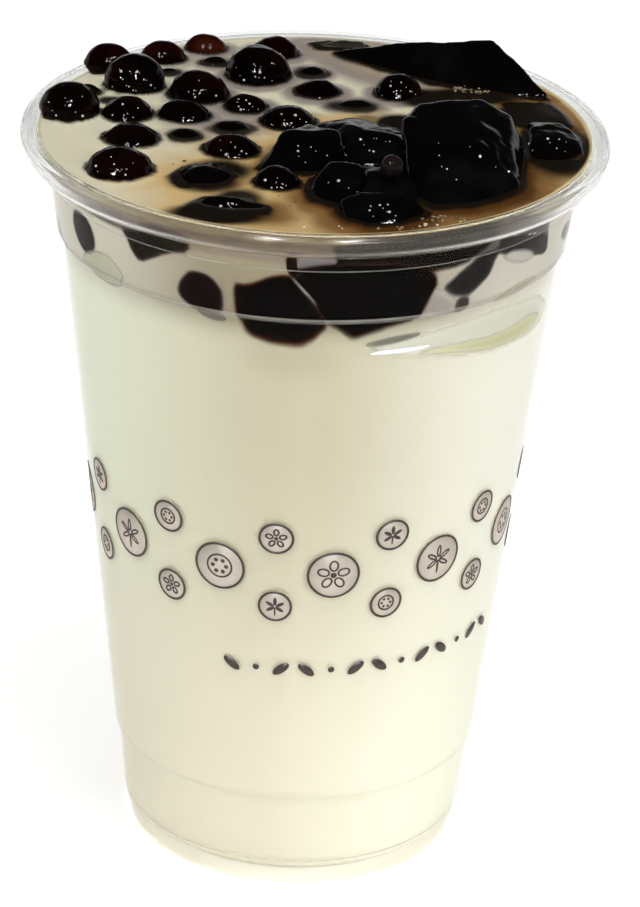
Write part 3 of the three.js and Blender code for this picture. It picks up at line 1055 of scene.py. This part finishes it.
class MILKTEA_OT_bits(bpy.types.Operator):
    """Foam and dark crumbs on the milk, and tiny white beads on the toppings and the front edge, partly
    painted glints
    """

    bl_idname = "milktea.bits"
    bl_label = "Bits"

    def execute(self, context):
        foam = bmesh.new()
        scattered(foam, 1.0, 40, (26.0, 20.6), (4.6, 1.5), (0.14, 0.42), LEVEL + 0.45, 0.8)
        scattered(foam, 2.0, 34, (19.6, -36.4), (4.2, 1.7), (0.10, 0.36), LEVEL + 0.15, 0.8)
        scattered(foam, 3.0, 9, (11.0, -40.6), (7.0, 0.8), (0.15, 0.3), LEVEL + 0.1, 0.8)
        froth = mottled_material(
            "froth", (0.30, 0.21, 0.11), (0.66, 0.54, 0.36), 0.8, 0.08, transmission_weight=0.35, ior=1.2,
        )
        add_piece("foam", foam, froth)
        # White beads on the toppings and along the front edge: partly air beads, partly painted glints that
        # stand in for sparkling highlights.
        beads_and_glints = bmesh.new()
        scattered(beads_and_glints, 6.0, 5, (17.0, -39.2), (3.2, 0.9), (0.22, 0.42), LEVEL + 0.1, 0.5)
        scattered(beads_and_glints, 7.0, 3, (3.0, -41.4), (5.0, 0.6), (0.16, 0.30), LEVEL + 0.1, 0.5)
        for seed, (topping, count) in enumerate(BEADS.items()):
            beads(beads_and_glints, topping, seed + 0.5, count)
        glint = mottled_material("bead_glint", (0.72, 0.70, 0.66), (0.92, 0.91, 0.88), 0.5, 0.1)
        add_piece("beads_and_glints", beads_and_glints, glint)
        crumbs = bmesh.new()
        scattered(crumbs, 4.0, 9, (-21.5, -19.0), (4.5, 5.5), (0.16, 0.42), LEVEL + 0.02, 0.4)
        scattered(crumbs, 5.0, 8, (-7.0, -30.0), (8.0, 5.5), (0.12, 0.3), LEVEL + 0.02, 0.4)
        dark = mottled_material("crumb", (0.02, 0.012, 0.006), (0.10, 0.06, 0.03), 0.8, 0.3)
        add_piece("crumbs", crumbs, dark)
        return {"FINISHED"}


def shape(bm, centre, half_width, half_height, turn, line=0.0, segments=36):
    """A flat oval in mm, filled, or only its outline where a line width is given."""
    place = Matrix.Translation((*centre, 0)) @ Matrix.Rotation(turn, 4, "Z")
    made = bmesh.ops.create_circle(bm, cap_ends=True, radius=1.0, segments=segments)
    verts = made["verts"]
    bmesh.ops.transform(bm, verts=verts, matrix=place @ Matrix.Diagonal((half_width, half_height, 1, 1)))
    if line:
        face = next(iter(verts[0].link_faces))
        bmesh.ops.inset_region(bm, faces=[face], thickness=line, use_even_offset=True, use_boundary=True)
        bmesh.ops.delete(bm, geom=[face], context="FACES_ONLY")


def blossom(bm, centre, size, line):
    """Five outlined petals round a dot."""
    for petal in range(5):
        turn = math.radians(90 + 72 * petal)
        at = (centre[0] + 0.40 * size * math.cos(turn), centre[1] + 0.40 * size * math.sin(turn))
        shape(bm, at, 0.25 * size, 0.19 * size, turn, line * 0.8, 20)
    shape(bm, centre, 0.12 * size, 0.12 * size, 0.0, 0.0, 16)


def sprig(bm, centre, size, line):
    """Five outlined leaves on a short stem."""
    for turn, reach in ((90, 0.36), (30, 0.34), (150, 0.34), (-30, 0.30), (210, 0.30)):
        angle = math.radians(turn)
        up = reach * size * math.sin(angle) - 0.04 * size
        at = (centre[0] + reach * size * math.cos(angle), centre[1] + up)
        shape(bm, at, 0.27 * size, 0.11 * size, angle, line * 0.8, 20)
    shape(bm, (centre[0], centre[1] - 0.36 * size), 0.05 * size, 0.30 * size, 0.0, 0.0, 12)


def drop_ring(bm, centre, size, line):
    """A ring with six dots in it."""
    shape(bm, centre, 0.52 * size, 0.52 * size, 0.0, line * 0.8)
    for dot in range(6):
        turn = math.radians(60 * dot)
        at = (centre[0] + 0.27 * size * math.cos(turn), centre[1] + 0.27 * size * math.sin(turn))
        shape(bm, at, 0.085 * size, 0.085 * size, 0.0, 0.0, 12)


def wrap_print(bm, low, high):
    """Cuts flat print into narrow strips, thickens it and lays it round the outside of the wall."""
    half_turn = math.ceil(math.pi * radius_at(OUTER_WALL, PRINT_MIDDLE))
    for strip in range(-half_turn, half_turn):
        bmesh.ops.bisect_plane(
            bm, geom=bm.verts[:] + bm.edges[:] + bm.faces[:], plane_co=(strip, 0, 0), plane_no=(1, 0, 0),
        )
    grown = bmesh.ops.extrude_face_region(bm, geom=bm.faces[:], use_keep_orig=True)
    raised = {item for item in grown["geom"] if isinstance(item, bmesh.types.BMVert)}
    reach = radius_at(OUTER_WALL, PRINT_MIDDLE)
    for vert in bm.verts:
        s, z = vert.co.x, vert.co.y
        radius = radius_at(OUTER_WALL, z) + (high if vert in raised else low)
        vert.co = Vector((math.sin(s / reach) * radius, -math.cos(s / reach) * radius, z)) * MM
    bmesh.ops.recalc_face_normals(bm, faces=bm.faces)


class MILKTEA_OT_print(bpy.types.Operator):
    """Band of plain badges and a row of small leaves printed on the wall"""

    bl_idname = "milktea.print"
    bl_label = "Print"

    def execute(self, context):
        settings = context.scene.print_settings
        reach = radius_at(OUTER_WALL, PRINT_MIDDLE)
        lines, fills = bmesh.new(), bmesh.new()
        motifs = (blossom, sprig, drop_ring)
        for number in range(12):
            s = math.radians(30 * number - 171) * reach
            badges = [(s, 62.6, settings.badge)]
            for height in (69.2, 56.4):
                badges.append((s + math.radians(15) * reach, height, 0.66 * settings.badge))
            for order, (at, height, size) in enumerate(badges):
                shape(lines, (at, height), size, size, 0.0, settings.line, 48)
                motifs[(number + order) % 3](lines, (at, height), size, settings.line)
                shape(fills, (at, height), size - 0.1, size - 0.1, 0.0, 0.0, 48)
        for number in range(13):
            s = math.radians(-18 + 7.0 * number) * reach
            if number % 3 == 1:
                shape(lines, (s, 44.4), 0.55, 0.55, 0.0, 0.0, 16)
            else:
                tilt = math.radians(38 if number % 3 else -38)
                shape(lines, (s, 44.4), 1.7, 0.75, tilt, 0.0, 24)
        wrap_print(lines, 0.0, 0.07)
        wrap_print(fills, -0.02, 0.03)
        ink = mottled_material("print_ink", settings.ink, [1.5 * c for c in settings.ink], 2.0, 0.45)
        pale = [1.12 * c for c in settings.fill]
        ground = mottled_material("print_ground", settings.fill, pale, 3.0, 0.5)
        add_piece("print_lines", lines, ink)
        add_piece("print_grounds", fills, ground)
        return {"FINISHED"}


class MILKTEA_OT_stage(bpy.types.Operator):
    """Pale floor, soft lights and the camera"""

    bl_idname = "milktea.stage"
    bl_label = "Stage"

    def execute(self, context):
        settings = context.scene.stage_settings
        scene = context.scene
        scene.view_settings.view_transform = "Standard"
        floor_mesh = bpy.data.meshes.new("floor")
        bm = bmesh.new()
        bmesh.ops.create_circle(bm, cap_ends=True, radius=8.0, segments=64)
        bm.to_mesh(floor_mesh)
        bm.free()
        floor = bpy.data.objects.new("floor", floor_mesh)
        scene.collection.objects.link(floor)
        pale, *_ = principled("pale_floor", base_color=(*settings.floor, 1), roughness=0.7)
        glow = pale.node_tree.nodes["Principled BSDF"].inputs
        glow["Emission Color"].default_value = (1, 1, 1, 1)
        glow["Emission Strength"].default_value = 0.45
        floor_mesh.materials.append(pale)

        world = bpy.data.worlds.new("studio")
        world.use_nodes = True
        nodes, links = world.node_tree.nodes, world.node_tree.links
        place = nodes.new("ShaderNodeTexCoord")
        split = nodes.new("ShaderNodeSeparateXYZ")
        links.new(place.outputs["Generated"], split.inputs[0])
        sky = blend(nodes, links, split.outputs["Z"], (1.0, 1.0, 1.0), (0.02, 0.02, 0.02), 0.05, 0.30)
        links.new(sky, nodes["Background"].inputs["Color"])
        scene.world = world

        def softbox(name, place, aim, width, height, power, mirrored=False):
            light = bpy.data.lights.new(name, "AREA")
            light.shape = "RECTANGLE"
            light.size, light.size_y = width, height
            light.energy = power
            lamp = bpy.data.objects.new(name, light)
            lamp.location = place
            lamp.rotation_mode = "QUATERNION"
            lamp.rotation_quaternion = (Vector(place) - Vector(aim)).to_track_quat("Z", "Y")
            lamp.visible_glossy = mirrored
            lamp.visible_diffuse = not mirrored
            lamp.visible_transmission = not mirrored
            scene.collection.objects.link(lamp)

        aim = (0, 0, 0.08)
        softbox("overhead", (0.0, -0.15, 1.5), aim, 1.4, 1.4, 13)
        softbox("front_right", (1.3, -1.5, 0.9), aim, 1.2, 1.2, 11)
        softbox("front_left", (-1.5, -1.2, 0.8), aim, 1.0, 1.2, 4)
        softbox("back_right", (1.4, 1.2, 1.6), aim, 0.8, 0.8, 4)
        softbox("back_left", (-1.4, 1.2, 1.6), aim, 0.8, 0.8, 4)
        for number, (turn, height) in enumerate(((-13, 38), (12, 38), (-11, 58), (14, 58))):
            turn, height = math.radians(turn), math.radians(height)
            back = -1.5 * math.cos(turn) * math.cos(height)
            place = (1.5 * math.sin(turn), back, 0.12 + 1.5 * math.sin(height))
            softbox(f"lamp_{number + 1}", place, (0, 0, 0.12), 0.09, 0.09, 16.0, True)

        level = math.cos(CAMERA_TILT)
        forward = Vector((
            math.sin(CAMERA_PAN) * level, math.cos(CAMERA_PAN) * level, -math.sin(CAMERA_TILT),
        ))
        right = forward.cross(Vector((0, 0, 1))).normalized()
        up = right.cross(forward)
        across = right * math.cos(CAMERA_ROLL) + up * math.sin(CAMERA_ROLL)
        upright = up * math.cos(CAMERA_ROLL) - right * math.sin(CAMERA_ROLL)
        lens = bpy.data.cameras.new("camera")
        lens.lens = settings.lens
        lens.sensor_width = 36.0
        camera = bpy.data.objects.new("camera", lens)
        turned = Matrix((across, upright, -forward)).transposed().to_4x4()
        camera.matrix_world = Matrix.Translation((0.0, -CAMERA_BACK, CAMERA_HEIGHT)) @ turned
        scene.collection.objects.link(camera)
        scene.camera = camera
        return {"FINISHED"}


OPERATORS = (
    MILKTEA_OT_cup,
    MILKTEA_OT_drink,
    MILKTEA_OT_pearls,
    MILKTEA_OT_jelly,
    MILKTEA_OT_sunk,
    MILKTEA_OT_bits,
    MILKTEA_OT_print,
    MILKTEA_OT_stage,
)


class MILKTEA_PT_panel(bpy.types.Panel):
    """Pieces of the cup of milk tea"""

    bl_label = "Milk tea"
    bl_idname = "MILKTEA_PT_panel"
    bl_space_type = "VIEW_3D"
    bl_region_type = "UI"
    bl_category = "Milk tea"

    def draw(self, context):
        for name, group in SETTINGS.items():
            box = self.layout.box()
            box.label(text=group.__doc__)
            for key in group.__annotations__:
                box.prop(getattr(context.scene, name), key)
        for operator in OPERATORS:
            self.layout.operator(operator.bl_idname)


def register():
    for group in SETTINGS.values():
        bpy.utils.register_class(group)
    for name, group in SETTINGS.items():
        setattr(bpy.types.Scene, name, PointerProperty(type=group))
    for operator in OPERATORS:
        bpy.utils.register_class(operator)
    bpy.utils.register_class(MILKTEA_PT_panel)


def unregister():
    bpy.utils.unregister_class(MILKTEA_PT_panel)
    for operator in reversed(OPERATORS):
        bpy.utils.unregister_class(operator)
    for name in SETTINGS:
        delattr(bpy.types.Scene, name)
    for group in reversed(list(SETTINGS.values())):
        bpy.utils.unregister_class(group)


def main():
    register()
    bpy.ops.milktea.cup()
    bpy.ops.milktea.drink()
    bpy.ops.milktea.pearls()
    bpy.ops.milktea.jelly()
    bpy.ops.milktea.sunk()
    bpy.ops.milktea.bits()
    bpy.ops.milktea.print()
    bpy.ops.milktea.stage()


if __name__ == "__main__":
    main()
